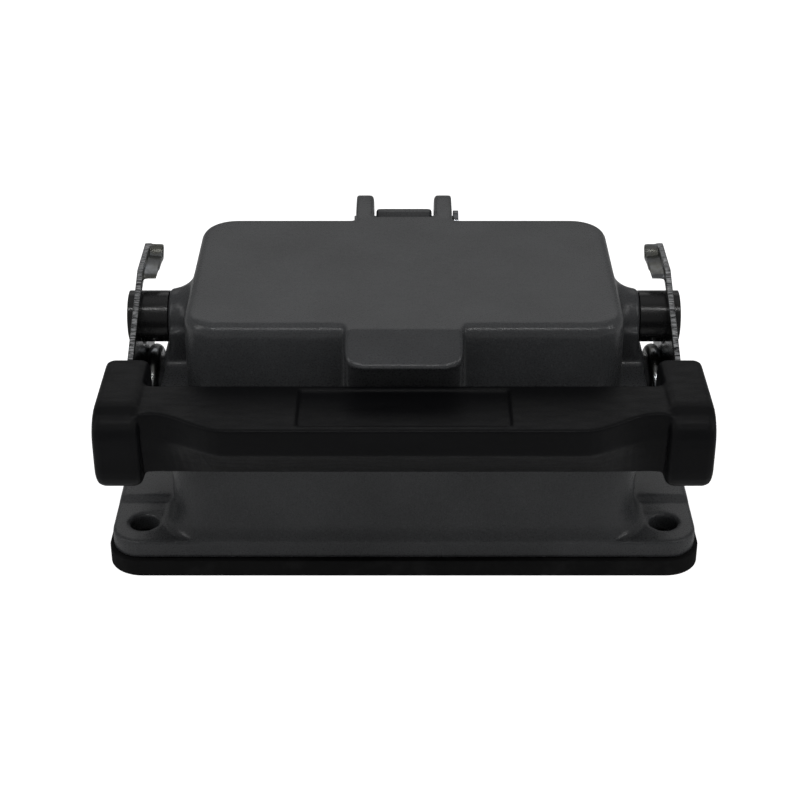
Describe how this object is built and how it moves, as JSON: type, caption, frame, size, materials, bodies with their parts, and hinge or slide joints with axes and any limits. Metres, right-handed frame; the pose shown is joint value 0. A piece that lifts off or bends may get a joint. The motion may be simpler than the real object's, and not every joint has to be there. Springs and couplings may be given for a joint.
{
  "type": "heavy duty rectangular connector housing",
  "caption": "Covered bulkhead housing of a heavy duty rectangular connector: hinged cover, locking lever with a grip bar, and a contact insert inside.",
  "frame": {"origin": "centre of the four mounting holes, on the panel face under the flange gasket", "axes": "+X along the long side, +Y towards the cover's hinge, +Z away from the panel; the grip is on the -Y side"},
  "size_m": [0.0942, 0.0701, 0.0436],
  "materials": {
    "casting": "matte",
    "seal": "matte",
    "bush": "satin",
    "plated_steel": "satin",
    "grip": "satin",
    "insulator": "matte",
    "contact": "satin"
  },
  "bodies": {
    "base": {"flange_gasket": "seal", "housing": "casting", "rim_seal": "seal", "hinge_pin": "plated_steel", "pivot_rivet_left": "plated_steel", "pivot_rivet_right": "plated_steel", "insert_body": "insulator", "terminal_block": "insulator", "terminal_screws": "plated_steel", "earth_plate_left": "plated_steel", "earth_plate_right": "plated_steel", "earth_screws": "plated_steel", "insert_screws": "plated_steel", "socket_contact_1": "contact", "socket_contact_2": "contact", "socket_contact_3": "contact", "socket_contact_4": "contact", "socket_contact_5": "contact", "socket_contact_6": "contact", "socket_contact_7": "contact", "socket_contact_8": "contact", "socket_contact_9": "contact", "socket_contact_10": "contact"},
    "cover": {"cover": "casting", "peg_bush_left": "bush", "peg_bush_right": "bush"},
    "lever": {"lever_plate_left": "plated_steel", "lever_plate_right": "plated_steel", "grip": "grip"}
  },
  "joints": [
    {"name": "lever_pivot", "type": "hinge", "parent": "base", "child": "lever", "pos_m": [0, 0, 0.0215], "axis": [1, 0, 0], "range_deg": [0, 43]},
    {"name": "cover_hinge", "type": "hinge", "parent": "base", "child": "cover", "pos_m": [0, 0.0272, 0.0386], "axis": [-1, 0, 0], "range_deg": [0, 110]}
  ],
  "couplings": [
    {"joint": "cover_hinge", "follows": "lever_pivot", "ratio": 0.2}
  ]
}
